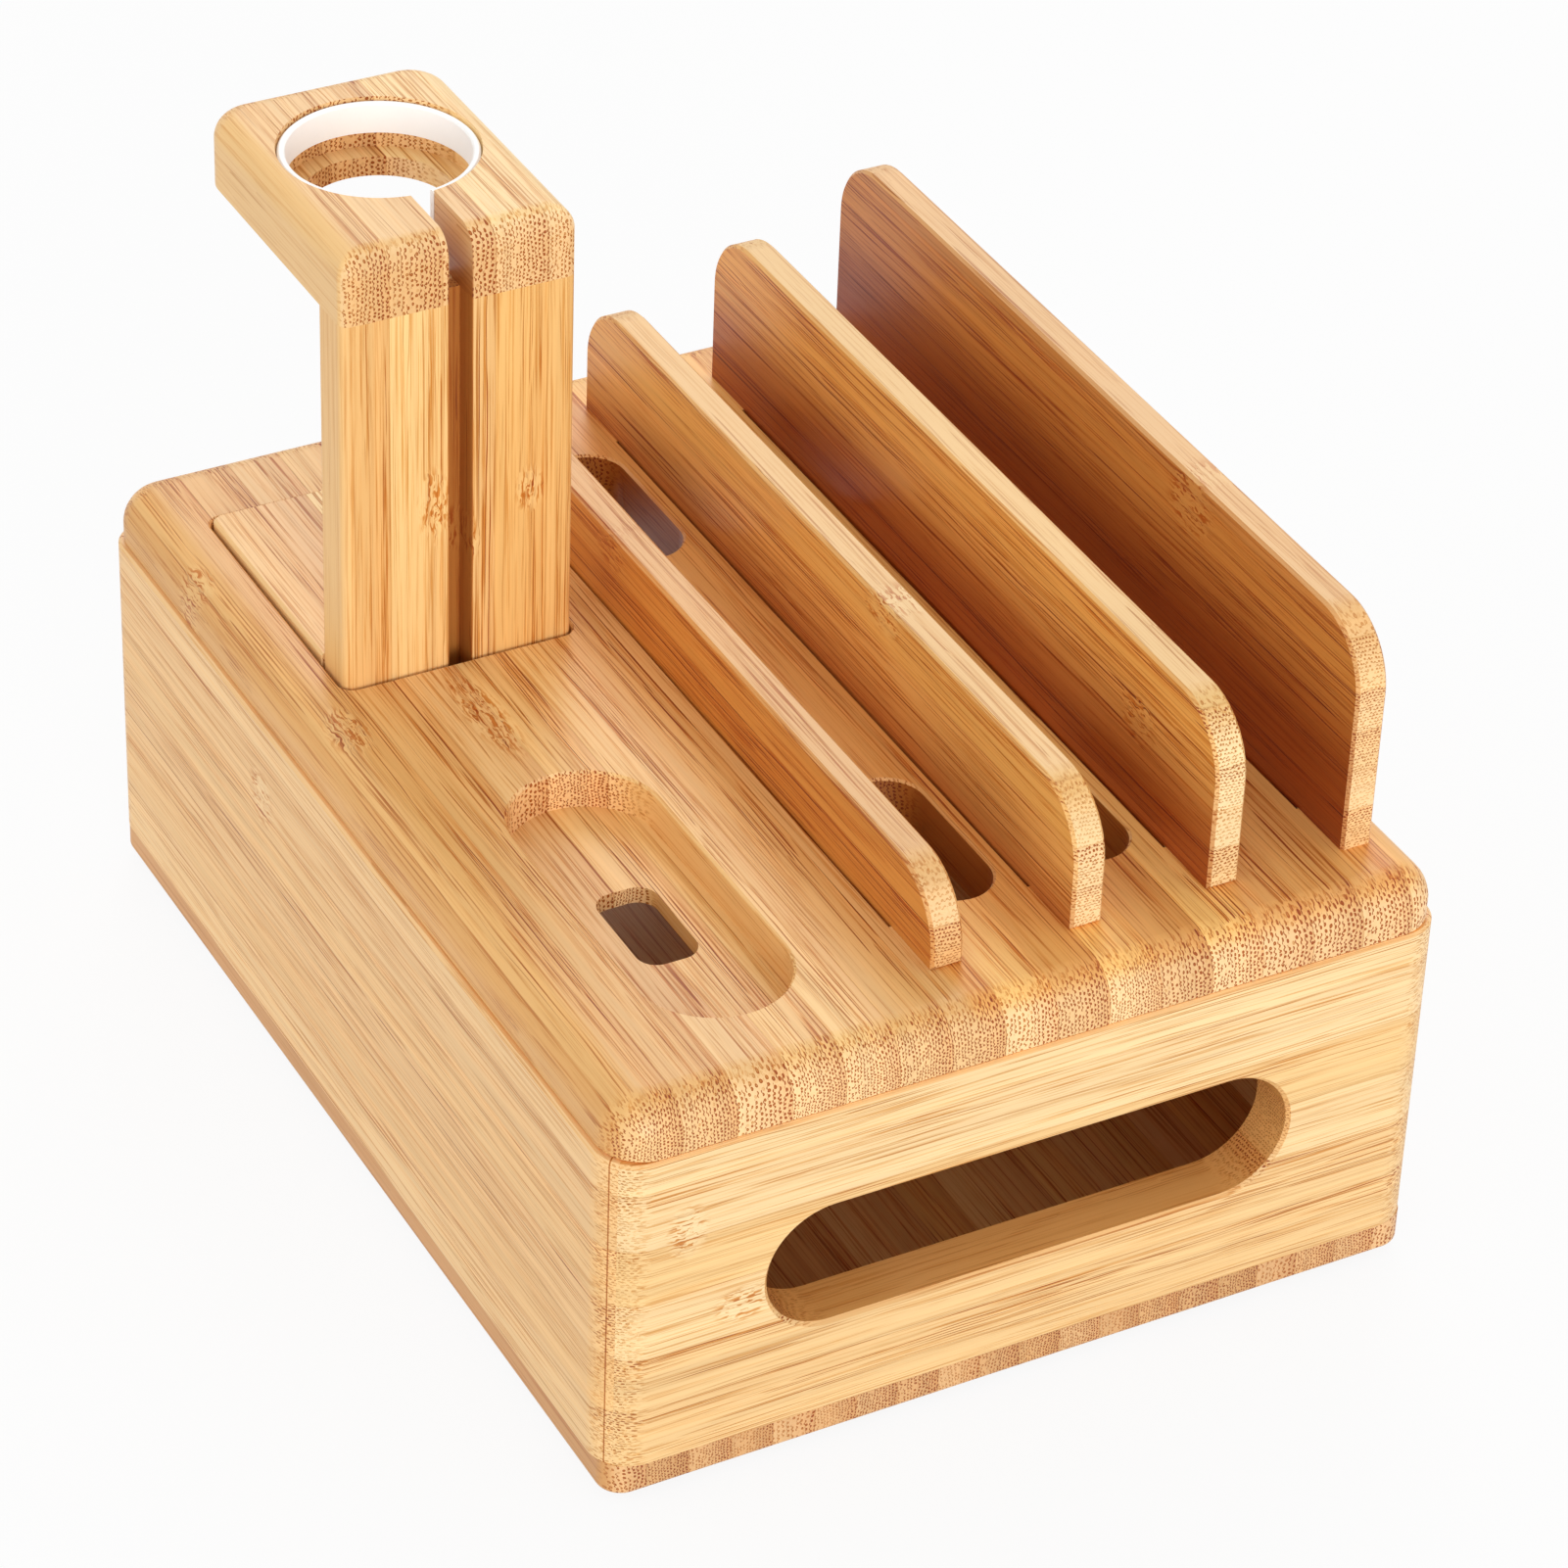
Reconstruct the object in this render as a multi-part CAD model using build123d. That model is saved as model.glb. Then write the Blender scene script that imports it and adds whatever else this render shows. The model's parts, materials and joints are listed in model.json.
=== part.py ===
from build123d import *
import os

# Desktop charging station in bamboo: a cord box with a lift-off lid, four upright
# dividers glued into the lid, and a lift-out stand that holds a round watch charger.
# Millimetres, +Z up. The origin is the centre of the footprint, on the surface that
# the foot pads rest on. +X runs along the long side, and -Y is the front.

# Cord box
box_length = 191.0
box_width = 144.0
wall_height = 57.7
wall_thickness = 9.0
arris_radius = 7.0
wall_easing = 0.5
cord_slot_length = 91.0
cord_slot_height = 22.2
cord_slot_rise = 28.1
cord_slot_easing = 0.6

# Bottom board
bottom_thickness = 5.9
bottom_inset = 0.7
bottom_corner_radius = 4.2
bottom_easing = 1.0

# Foot pads
foot_diameter = 12.0
foot_height = 1.5
foot_inset = 9.0
foot_easing = 0.4

# Screws that hold the bottom board to the walls, from below
screw_length = 20.0
screw_diameter = 3.0
screw_head_diameter = 5.8
screw_head_height = 1.6
screw_sink = 0.4
screw_clearance = 0.1
long_wall_screw_shares = (-0.3, 0.3)
end_wall_screw_shares = (0.0,)

# Lid board
lid_thickness = 9.6
lid_inset = 0.85
lid_corner_radius = 7.5
lid_top_round = 6.2
lid_easing = 0.6
mouth_easing = 0.4

# Battens under the lid, which keep it between the end walls
batten_width = 7.0
batten_height = 8.0
batten_clearance = 0.5
batten_easing = 0.6

# Dividers
divider_thickness = 5.4
front_divider_height = 14.5
second_divider_height = 22.4
third_divider_height = 30.4
back_divider_height = 39.2
divider_corner_radius = 11.7
divider_end_margin = 12.6
divider_back_margin = 6.45
divider_easing = 0.5
tongue_depth = 4.0
tongue_setback = 12.9
groove_gap = 0.4

# Cable slots between the dividers
cable_slot_length = 33.6
cable_slot_width = 13.0
cable_slot_end_margin = 26.5

# Earbud case recess and the cable hole in its floor
recess_length = 66.6
recess_width = 24.65
recess_depth = 6.7
recess_end_margin = 15.6
recess_front_margin = 16.95
recess_hole_length = 19.6
recess_hole_width = 10.2
recess_hole_radius = 3.4

# Pocket for the watch stand and the cable hole in its floor
stand_length = 54.5
stand_width = 40.0
pocket_clearance = 0.5
pocket_depth = 5.0
pocket_corner_radius = 2.5
pocket_end_margin = 18.7
pocket_front_margin = 9.6
pocket_to_divider = 7.7
watch_hole_length = 16.0
watch_hole_width = 7.0
watch_hole_radius = 3.0

# Watch stand
stand_base_proud = 0.9
stand_base_corner_radius = 2.0
stand_easing = 0.5
post_thickness = 9.6
post_rise = 66.2
post_edge_round = 1.8
post_groove_width = 4.0
post_groove_depth = 4.6
head_overhang = 0.6
head_thickness = 12.0
head_nose_radius = 6.8
head_top_round = 4.0
charger_centre_inset = 24.0
charger_hole_radius = 12.15
charger_seat_depth = 8.6

# Silicone ring that lines the charger seat
ring_outer_radius = 15.9
ring_wall = 1.2
ring_height = 5.2
ring_recess = 0.5
ring_clearance = 0.3
ring_lip = 0.6
ring_easing = 0.3

# Dowels in the stand's two glued joints
head_dowel_diameter = 5.0
head_dowel_length = 20.0
head_dowel_rise = 8.0
foot_dowel_diameter = 3.0
foot_dowel_length = 15.0
foot_dowel_bite = 5.0
dowel_spacing = 24.0
dowel_clearance = 0.05

# How far a cutting shape runs past the face that it cuts
overrun = 2.0

# Levels, from the surface upwards
bottom_level = foot_height
wall_level = bottom_level + bottom_thickness
lid_level = wall_level + wall_height
lid_top = lid_level + lid_thickness
pocket_floor = lid_top - pocket_depth
head_level = lid_top + post_rise
head_top = head_level + head_thickness

# Lid outline, and the places that are measured from its edges
lid_length = box_length
lid_width = box_width - 2 * lid_inset
lid_front = -lid_width / 2
lid_back = lid_width / 2
lid_left = -lid_length / 2
lid_right = lid_length / 2

pocket_length = stand_length + 2 * pocket_clearance
pocket_width = stand_width + 2 * pocket_clearance
pocket_x = lid_left + pocket_end_margin + pocket_length / 2
pocket_y = lid_front + pocket_front_margin + pocket_width / 2
stand_left = pocket_x - stand_length / 2
stand_right = pocket_x + stand_length / 2

recess_x = lid_right - recess_end_margin - recess_length / 2
recess_y = lid_front + recess_front_margin + recess_width / 2

dividers = {
    "front_divider": front_divider_height,
    "second_divider": second_divider_height,
    "third_divider": third_divider_height,
    "back_divider": back_divider_height,
}
first_divider_front = pocket_y + pocket_width / 2 + pocket_to_divider
last_divider_front = lid_back - divider_back_margin - divider_thickness
divider_pitch = (last_divider_front - first_divider_front) / (len(dividers) - 1)
divider_length = lid_length - 2 * divider_end_margin
tongue_length = divider_length - 2 * tongue_setback
cable_slot_x = lid_right - cable_slot_end_margin - cable_slot_length / 2

inside_length = box_length - 2 * wall_thickness
inside_width = box_width - 2 * wall_thickness

# The walls in order round the box: each is the one before it, turned by a quarter
wall_names = ("front_wall", "right_wall", "back_wall", "left_wall")


def upright(sketch, x, y, low, high):
    """A sketch in plan, raised between two levels."""
    return Pos(x, y, low) * extrude(sketch, amount=high - low)


def edges_at(solid, level):
    """The edges of a solid that lie flat at one level."""
    return solid.edges().filter_by_position(Axis.Z, level, level)


def rod(radius, low, high):
    """A vertical round bar between two levels, at the origin in plan."""
    return upright(Circle(radius), 0, 0, low, high)


def divider_front(index):
    return first_divider_front + index * divider_pitch


# The screws stand in the middle of the wall thickness
def screw_places():
    long_wall_y = box_width / 2 - wall_thickness / 2
    end_wall_x = box_length / 2 - wall_thickness / 2
    places = []
    for side in (-1, 1):
        for share in long_wall_screw_shares:
            places.append((share * box_length, side * long_wall_y))
        for share in end_wall_screw_shares:
            places.append((side * end_wall_x, share * box_width))
    return places


def screw(grow=0):
    """A countersunk screw, point up, or its hole when it is grown by a clearance."""
    start = bottom_level + screw_sink
    neck = start + screw_head_height
    shank = rod(screw_diameter / 2 + grow, neck, start + screw_length + grow)
    head = Pos(0, 0, (start + neck) / 2) * Cone(
        screw_head_diameter / 2 + grow, screw_diameter / 2 + grow, screw_head_height
    )
    if grow == 0:
        return shank + head
    mouth = rod(screw_head_diameter / 2 + grow, bottom_level - overrun, start)
    return shank + head + mouth


# Pieces of the cord box
def bottom_board():
    outline = RectangleRounded(
        box_length - 2 * bottom_inset, box_width - 2 * bottom_inset, bottom_corner_radius
    )
    board = upright(outline, 0, 0, bottom_level, wall_level)
    board = fillet(edges_at(board, bottom_level), bottom_easing)
    for x, y in screw_places():
        board -= Pos(x, y, 0) * screw(screw_clearance)
    return board


def foot_pad(x_side, y_side):
    x = box_length / 2 - bottom_inset - foot_inset - foot_diameter / 2
    y = box_width / 2 - bottom_inset - foot_inset - foot_diameter / 2
    pad = rod(foot_diameter / 2, 0, foot_height)
    pad = chamfer(edges_at(pad, 0), foot_easing)
    return Pos(x_side * x, y_side * y, 0) * pad


def base_screws():
    return Compound([Pos(x, y, 0) * screw() for x, y in screw_places()])


def frame_of_walls():
    """The four walls as one hollow block, before the mitres part them."""
    outer = RectangleRounded(box_length, box_width, arris_radius)
    block = upright(outer, 0, 0, wall_level, lid_level)
    block = chamfer(edges_at(block, lid_level), wall_easing)
    inside = Rectangle(inside_length, inside_width)
    block -= upright(inside, 0, 0, wall_level - overrun, lid_level + overrun)
    for x, y in screw_places():
        block -= Pos(x, y, 0) * screw(screw_clearance)
    return block


def cord_slot(side):
    """The long opening in an end wall, with its outer edge eased."""
    face_x = side * box_length / 2
    middle = wall_level + cord_slot_rise
    outline = SlotOverall(cord_slot_length, cord_slot_height)
    inward = Plane(origin=(face_x, 0, middle), x_dir=(0, 1, 0), z_dir=(-side, 0, 0))
    hole = extrude(inward.offset(-overrun) * outline, wall_thickness + 2 * overrun)
    mouth_outline = offset(outline, cord_slot_easing)
    bevel = loft([inward * mouth_outline, inward.offset(cord_slot_easing) * outline])
    return hole + bevel


def wall(frame, turns):
    """One wall of the frame, cut out between two mitres at 45 degrees."""
    long_wall = turns % 2 == 0
    length, depth = (box_length, box_width) if long_wall else (box_width, box_length)
    outside = -depth / 2
    inside = outside + wall_thickness
    wedge = Polygon(
        (-length / 2, outside),
        (length / 2, outside),
        (length / 2 - wall_thickness, inside),
        (-length / 2 + wall_thickness, inside),
        align=None,
    )
    piece = frame & Rot(0, 0, turns * 90) * upright(wedge, 0, 0, wall_level, lid_level)
    if long_wall:
        return piece
    return piece - cord_slot(1 if turns == 1 else -1)


# Pieces of the lid
def pocket():
    outline = RectangleRounded(pocket_length, pocket_width, pocket_corner_radius)
    hollow = upright(outline, pocket_x, pocket_y, pocket_floor, lid_top + overrun)
    hole_x = stand_right - watch_hole_width / 2
    hole = RectangleRounded(watch_hole_width, watch_hole_length, watch_hole_radius)
    return hollow + upright(hole, hole_x, pocket_y, lid_level - overrun, lid_top)


def earbud_recess():
    outline = SlotOverall(recess_length, recess_width)
    floor = lid_top - recess_depth
    hollow = upright(outline, recess_x, recess_y, floor, lid_top + overrun)
    hole = RectangleRounded(recess_hole_length, recess_hole_width, recess_hole_radius)
    return hollow + upright(hole, recess_x, recess_y, lid_level - overrun, lid_top)


def cable_slots():
    slots = []
    outline = SlotOverall(cable_slot_length, cable_slot_width)
    for index in (0, 1):
        back_of_divider = divider_front(index) + divider_thickness
        y = (back_of_divider + divider_front(index + 1)) / 2
        for side in (-1, 1):
            slot = upright(outline, 0, y, lid_level - overrun, lid_top + overrun)
            slots.append(Pos(side * cable_slot_x, 0, 0) * slot)
    return slots


def groove(index):
    """A stopped groove, a little wider than the divider on the divider's front side."""
    width = divider_thickness + groove_gap
    y = divider_front(index) + divider_thickness - width / 2
    outline = Rectangle(tongue_length + 2 * groove_gap, width)
    return upright(outline, 0, y, lid_top - tongue_depth, lid_top + overrun)


def lid_board():
    outline = RectangleRounded(lid_length, lid_width, lid_corner_radius)
    board = upright(outline, 0, 0, lid_level, lid_top)
    board = fillet(edges_at(board, lid_top), lid_top_round)
    board = chamfer(edges_at(board, lid_level), lid_easing)
    rim = edges_at(board, lid_top)
    board = board - pocket() - earbud_recess() - cable_slots()
    mouths = [edge for edge in edges_at(board, lid_top) if edge not in rim]
    board = chamfer(mouths, mouth_easing)
    for index in range(len(dividers)):
        board -= groove(index)
    return board


def batten(side):
    """A batten under the lid, just inside an end wall."""
    length = inside_width - 2 * batten_clearance
    x = side * (inside_length / 2 - batten_clearance - batten_width / 2)
    low = lid_level - batten_height
    strip = upright(Rectangle(batten_width, length), x, 0, low, lid_level)
    return chamfer(edges_at(strip, low), batten_easing)


def divider(index, height):
    """An upright board with round upper corners and a tongue along its foot."""
    outline = Pos(0, height / 2) * Rectangle(divider_length, height)
    outline = fillet(outline.vertices().group_by(Axis.Y)[-1], divider_corner_radius)
    front = divider_front(index)
    standing = Plane(origin=(0, front, lid_top), x_dir=(1, 0, 0), z_dir=(0, -1, 0))
    board = extrude(standing * outline, amount=-divider_thickness)
    faces = board.faces().sort_by(Axis.Y)
    outlines = faces[0].edges() + faces[-1].edges()
    eased = [edge for edge in outlines if edge.center().Z > lid_top + divider_easing]
    eased += edges_at(board, lid_top).filter_by(Axis.Y)
    board = chamfer(eased, divider_easing)
    foot = Rectangle(tongue_length, divider_thickness)
    middle_y = front + divider_thickness / 2
    return board + upright(foot, 0, middle_y, lid_top - tongue_depth, lid_top)


# Pieces of the watch stand
def head_dowel(grow=0):
    x = stand_right - post_thickness / 2
    low = head_level + head_dowel_rise - head_dowel_length
    peg = rod(head_dowel_diameter / 2 + grow, low, low + head_dowel_length)
    return [Pos(x, pocket_y + side * dowel_spacing / 2, 0) * peg for side in (-1, 1)]


def foot_dowel(grow=0):
    joint_x = stand_right - post_thickness
    z = pocket_floor + (pocket_depth + stand_base_proud) / 2
    start = Plane(origin=(joint_x + foot_dowel_bite, 0, z), z_dir=(-1, 0, 0))
    peg = extrude(start * Circle(foot_dowel_diameter / 2 + grow), amount=foot_dowel_length)
    return [Pos(0, pocket_y + side * dowel_spacing / 2, 0) * peg for side in (-1, 1)]


def stand_base():
    length = stand_length - post_thickness
    top = lid_top + stand_base_proud
    outline = Rectangle(length, stand_width)
    board = upright(outline, stand_left + length / 2, pocket_y, pocket_floor, top)
    free_corners = board.edges().filter_by(Axis.Z).group_by(Axis.X)[0]
    board = fillet(free_corners, stand_base_corner_radius)
    joint_x = stand_left + length
    rim = [e for e in edges_at(board, top) if e.center().X < joint_x - stand_easing]
    return chamfer(rim, stand_easing) - foot_dowel(dowel_clearance)


def stand_post():
    x = stand_right - post_thickness / 2
    outline = Rectangle(post_thickness, stand_width)
    post = upright(outline, x, pocket_y, pocket_floor, head_level)
    post = fillet(post.edges().filter_by(Axis.Z), post_edge_round)
    cut = Rectangle(2 * post_groove_depth, post_groove_width)
    post -= upright(cut, stand_right, pocket_y, pocket_floor - overrun, head_level + overrun)
    return post - head_dowel(dowel_clearance) - foot_dowel(dowel_clearance)


def stand_head():
    left = stand_left + head_overhang
    length = stand_right - left
    outline = Rectangle(length, stand_width)
    block = upright(outline, left + length / 2, pocket_y, head_level, head_top)
    corners = block.edges().filter_by(Axis.Z).group_by(Axis.X)
    block = fillet(corners[0], head_nose_radius)
    block = fillet(edges_at(block, head_top), head_top_round)
    end_corners = block.edges().filter_by(Axis.Z).group_by(Axis.X)[-1]
    block = fillet(end_corners, post_edge_round)
    seat_x = left + charger_centre_inset
    bore_radius = ring_outer_radius + ring_clearance
    ring_seat = head_top - ring_recess - ring_height
    hole = rod(charger_hole_radius, head_level - overrun, head_top + overrun)
    seat = rod(bore_radius - ring_lip, head_top - charger_seat_depth, head_top + overrun)
    bore = rod(bore_radius, ring_seat, head_top + overrun)
    block -= Pos(seat_x, pocket_y, 0) * (hole + seat + bore)
    slit_length = stand_right - seat_x + overrun
    slit = Rectangle(slit_length, post_groove_width)
    slit_x = seat_x + slit_length / 2
    block -= upright(slit, slit_x, pocket_y, head_level - overrun, head_top + overrun)
    return block - head_dowel(dowel_clearance)


def watch_ring():
    """A split ring that stands on the lip of the charger seat."""
    top = head_top - ring_recess
    ring = rod(ring_outer_radius, top - ring_height, top)
    ring -= rod(ring_outer_radius - ring_wall, top - ring_height - overrun, top + overrun)
    ring = chamfer(edges_at(ring, top), ring_easing)
    gap = Rectangle(2 * ring_outer_radius, post_groove_width)
    ring -= upright(gap, ring_outer_radius, 0, top - ring_height - overrun, top + overrun)
    return Pos(stand_left + head_overhang + charger_centre_inset, pocket_y, 0) * ring


walls = frame_of_walls()
pieces = {
    "bottom_board": bottom_board(),
    "base_screws": base_screws(),
    "lid_board": lid_board(),
    "left_batten": batten(-1),
    "right_batten": batten(1),
    "stand_base": stand_base(),
    "stand_post": stand_post(),
    "stand_head": stand_head(),
    "head_dowels": Compound(head_dowel()),
    "foot_dowels": Compound(foot_dowel()),
    "watch_ring": watch_ring(),
}
for turns, name in enumerate(wall_names):
    pieces[name] = wall(walls, turns)
for x_side, x_name in ((-1, "left"), (1, "right")):
    for y_side, y_name in ((-1, "front"), (1, "back")):
        pieces[f"foot_pad_{y_name}_{x_name}"] = foot_pad(x_side, y_side)
for index, (name, height) in enumerate(dividers.items()):
    pieces[name] = divider(index, height)

os.makedirs("parts", exist_ok=True)
for name, piece in pieces.items():
    export_step(piece, f"parts/{name}.step")
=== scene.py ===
import json
import math
import bmesh
import bpy
from mathutils import Matrix, Vector

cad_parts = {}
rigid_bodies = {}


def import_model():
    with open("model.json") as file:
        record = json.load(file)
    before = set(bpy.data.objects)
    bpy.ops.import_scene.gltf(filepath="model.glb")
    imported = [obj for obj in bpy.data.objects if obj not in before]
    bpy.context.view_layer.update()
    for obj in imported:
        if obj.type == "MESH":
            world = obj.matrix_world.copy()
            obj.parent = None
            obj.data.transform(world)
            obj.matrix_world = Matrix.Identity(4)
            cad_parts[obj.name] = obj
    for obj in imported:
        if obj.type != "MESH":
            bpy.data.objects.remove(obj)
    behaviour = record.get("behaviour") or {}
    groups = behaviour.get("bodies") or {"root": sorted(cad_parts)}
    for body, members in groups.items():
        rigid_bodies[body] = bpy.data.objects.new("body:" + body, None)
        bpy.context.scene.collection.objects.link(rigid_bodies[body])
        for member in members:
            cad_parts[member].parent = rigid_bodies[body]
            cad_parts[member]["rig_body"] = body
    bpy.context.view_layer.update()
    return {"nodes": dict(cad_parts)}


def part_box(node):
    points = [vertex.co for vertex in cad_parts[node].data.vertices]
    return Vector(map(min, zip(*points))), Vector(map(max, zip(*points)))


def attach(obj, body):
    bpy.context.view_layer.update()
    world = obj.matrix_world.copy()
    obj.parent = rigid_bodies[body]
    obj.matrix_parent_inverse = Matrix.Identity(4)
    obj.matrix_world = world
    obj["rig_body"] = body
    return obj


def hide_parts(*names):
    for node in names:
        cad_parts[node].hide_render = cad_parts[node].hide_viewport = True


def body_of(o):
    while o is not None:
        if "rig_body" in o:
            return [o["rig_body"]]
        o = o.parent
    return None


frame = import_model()

# Charging station organizer in laminated bamboo, in metres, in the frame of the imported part.
# Patterns are drawn in millimetres of the part's own space.

nodes = frame["nodes"]
MILLIMETRE = 0.001
PER_METRE = 1000.0

# The photograph's frame is square, with a long lens from the front right
CAMERA_PLACE = (0.6852, -0.3740, 0.6030)
CAMERA_AIM = (0.0102, 0.0012, 0.0582)
CAMERA_ROLL = math.radians(2.29)
CAMERA_LENS = 135.3
SENSOR_WIDTH = 36.0

# Studio light: an even white room, a low key from the right, a weak fill on the front, and
# a wide lamp behind the left end that leaves the dividers' fronts in shade
ROOM_STRENGTH = 0.76
KEY_FROM = (1.0, -0.20, 0.20)
KEY_STRENGTH = 1.20
KEY_SPREAD = math.radians(26)
FRONT_FROM = (0.1, -1.0, 0.1)
FRONT_STRENGTH = 0.18
FRONT_SPREAD = math.radians(60)
SHEEN_FROM = (-0.714, 0.397, 0.576)
SHEEN_STRENGTH = 0.62
SHEEN_SPREAD = math.radians(29)
FLOOR_REACH = 6.0
FLOOR_WHITE_SHARE = 0.9


def srgb(red, green, blue):
    """A colour written in display values from 0 to 255, as scene-linear values."""
    def linear(value):
        share = value / 255
        return share / 12.92 if share <= 0.04045 else ((share + 0.055) / 1.055) ** 2.4
    return (linear(red), linear(green), linear(blue), 1.0)


# Bamboo tones, and tints by which a colour is multiplied
GOLDEN = srgb(238, 190, 118)
ROSE = srgb(233, 188, 134)
CREAM = srgb(248, 216, 156)
AMBER = srgb(216, 150, 80)
END_PALE = srgb(252, 218, 168)
NO_TINT = (1.0, 1.0, 1.0)
BUNDLE_TINT = (0.65, 0.38, 0.06)
LINE_TINT = (0.79, 0.54, 0.19)
GLUE_TINT = (0.84, 0.72, 0.54)
KNUCKLE_TINT = (0.83, 0.61, 0.34)
# Painted shade: tints that darken the lid between the dividers, the slots, the dividers' fronts
# towards their feet, and the end walls' cord slot, where shade falls
LANE_SHADE_TINT = (1.04, 0.91, 0.66)
SLOT_SHADE_TINT = (0.55, 0.32, 0.14)
FOOT_SHADE_TINT = (0.49, 0.23, 0.11)
END_WALL_SHADE_TINT = (0.94, 0.71, 0.45)
# Tints of whole boards, and of some of their faces
WALL_TINT = (1.12, 1.16, 1.30)
END_WALL_TINT = (1.08, 1.20, 1.50)
LID_TINT = (1.02, 0.96, 0.87)
BOTTOM_TINT = (0.84, 0.72, 0.62)
BOTTOM_EDGE_TINT = (0.95, 0.82, 0.66)
STAND_TINT = (1.08, 1.08, 1.02)
HEAD_TINT = (1.10, 1.14, 1.22)
HEAD_END_TINT = (0.86, 0.76, 0.62)

# Other finishes
SILICONE_WHITE = srgb(254, 253, 251)
SILICONE_SHADE = srgb(249, 247, 244)
# A faint painted glow that lightens the white silicone
SILICONE_GLOW = (0.80, 0.94, 1.0, 1.0)
SILICONE_GLOW_STRENGTH = 0.09
RUBBER_LIGHT = srgb(206, 203, 198)
RUBBER_DARK = srgb(186, 183, 178)
ZINC_LIGHT = srgb(206, 206, 202)
ZINC_DARK = srgb(176, 178, 176)
BEECH_LIGHT = srgb(222, 192, 152)
BEECH_DARK = srgb(198, 160, 116)
FLOOR_GREY = (0.86, 0.86, 0.86, 1.0)

# Turns of a surface, as shares of its direction along an axis. A turn or an edge is a pair:
# where a change starts and where it is complete.
END_TURN = (0.35, 0.85)
CUT_TURN = (0.04, 0.40)
FACE_TURN = (0.5, 0.9)
UPRIGHT_TURN = (0.3, 0.7)

# Waves in the cane, in millimetres
SWAY_LENGTH, SWAY_WIDTH, SWAY_REACH = 60.0, 7.0, 2.4
DRIFT_LENGTH, DRIFT_WIDTH, DRIFT_DEPTH, DRIFT_REACH = 62.0, 8.0, 9.0, 2.6
BROAD_LENGTH, BROAD_WIDTH = 120.0, 2.6
PATCH_LENGTH, PATCH_WIDTH = 34.0, 1.2
FIBRE_LENGTH, FIBRES_PER_MILLIMETRE = 38.0, 2.6
SWIRL_LENGTH, SWIRL_WIDTH, SWIRL_REACH = 4.5, 2.4, 3.0
FLECK_LENGTH, FLECK_WIDTH = 5.5, 0.55
# Each pair is how many finer waves there are and how strong these are
SOFT_DETAIL = (2.0, 0.6)
BROAD_DETAIL = (3.0, 0.6)
FINE_DETAIL = (4.0, 0.7)

# The strips and their fibre bundles. A pair that isn't an edge is a share at its weakest
# and at its fullest.
RIND_POWER = 2.4
STRIP_SHIFT = 7.3
DEPTH_SHIFT = 2.7
BUNDLE_STEP = 0.68
COLUMN_SHARE = 0.86
USUAL_SIZE = 0.94
COARSER_SIZE = 0.62
FINER_SIZE = 0.08
BUNDLE_PLAY = 0.38
BUNDLE_EDGE = (0.24, 0.34)
CORE_EDGE = (0.04, 0.17)
CORE_PALENESS = (0.45, 0.65)
BUNDLES_KEPT = (0.84, 1.14)
KEPT_EDGE = (-0.06, 0.06)
BUNDLE_WEIGHTS = (0.25, 1.0)
END_EVENING = 0.45
RIND_STRENGTH = (0.60, 1.0)
STRIP_STRENGTH = (0.50, 1.20)
SIDE_CLEANNESS = 0.5
STREAK_STRENGTH = 1.3
DOT_STRENGTH = 1.4
PATCH_EDGE = (0.36, 0.62)
LINE_EDGE = (0.01, 0.10)
RIND_LINES = (0.45, 1.0)
PATCH_LINES = (0.30, 1.0)
STREAKY_LINES = (0.2, 1.0)
GLUE_WIDTH = 0.16
GLUE_SHARE = 0.4
KNUCKLE_EDGE = (0.1, 1.0)
FLECK_EDGE = (0.50, 0.60)
FLECK_CREAM = 0.35

# How strips differ in colour
CREAM_EDGE = (0.55, 0.95)
CREAM_SHARE = 0.9
AMBER_SHARE = 0.42
END_PALENESS = (0.45, 0.90)
BROAD_SHARE = 0.40
PALE_LIFT = 0.10

# The bamboo's surface: how deep each mark is as a share of the whole bump, and its finish
STREAK_DEPTH = 0.7
LINE_DEPTH = 0.3
GLUE_DEPTH = 0.5
FLECK_DEPTH = 0.4
BAMBOO_BUMP = 0.05
BAMBOO_ROUGHNESS = 0.44
FIBRE_ROUGHNESS = 0.16
STREAK_ROUGHNESS = 0.10
SATIN_FINISH = {"IOR": 1.46, "Coat Weight": 0.10, "Coat Roughness": 0.30}

# Painted shade and joints, in millimetres
MITRE_EDGE = (0.04, 0.28)
MITRE_SHARE = 0.8
BACK_SHARE = 0.65
LANE_FADE = 3.0
LANE_ENDS = (84.0, 87.0)
CORD_SLOT_REACH = (60.0, 61.0)
SHADE_FADE = 1.0
SLOT_HALF = 2.1
SLOT_EDGE = 0.15


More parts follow.
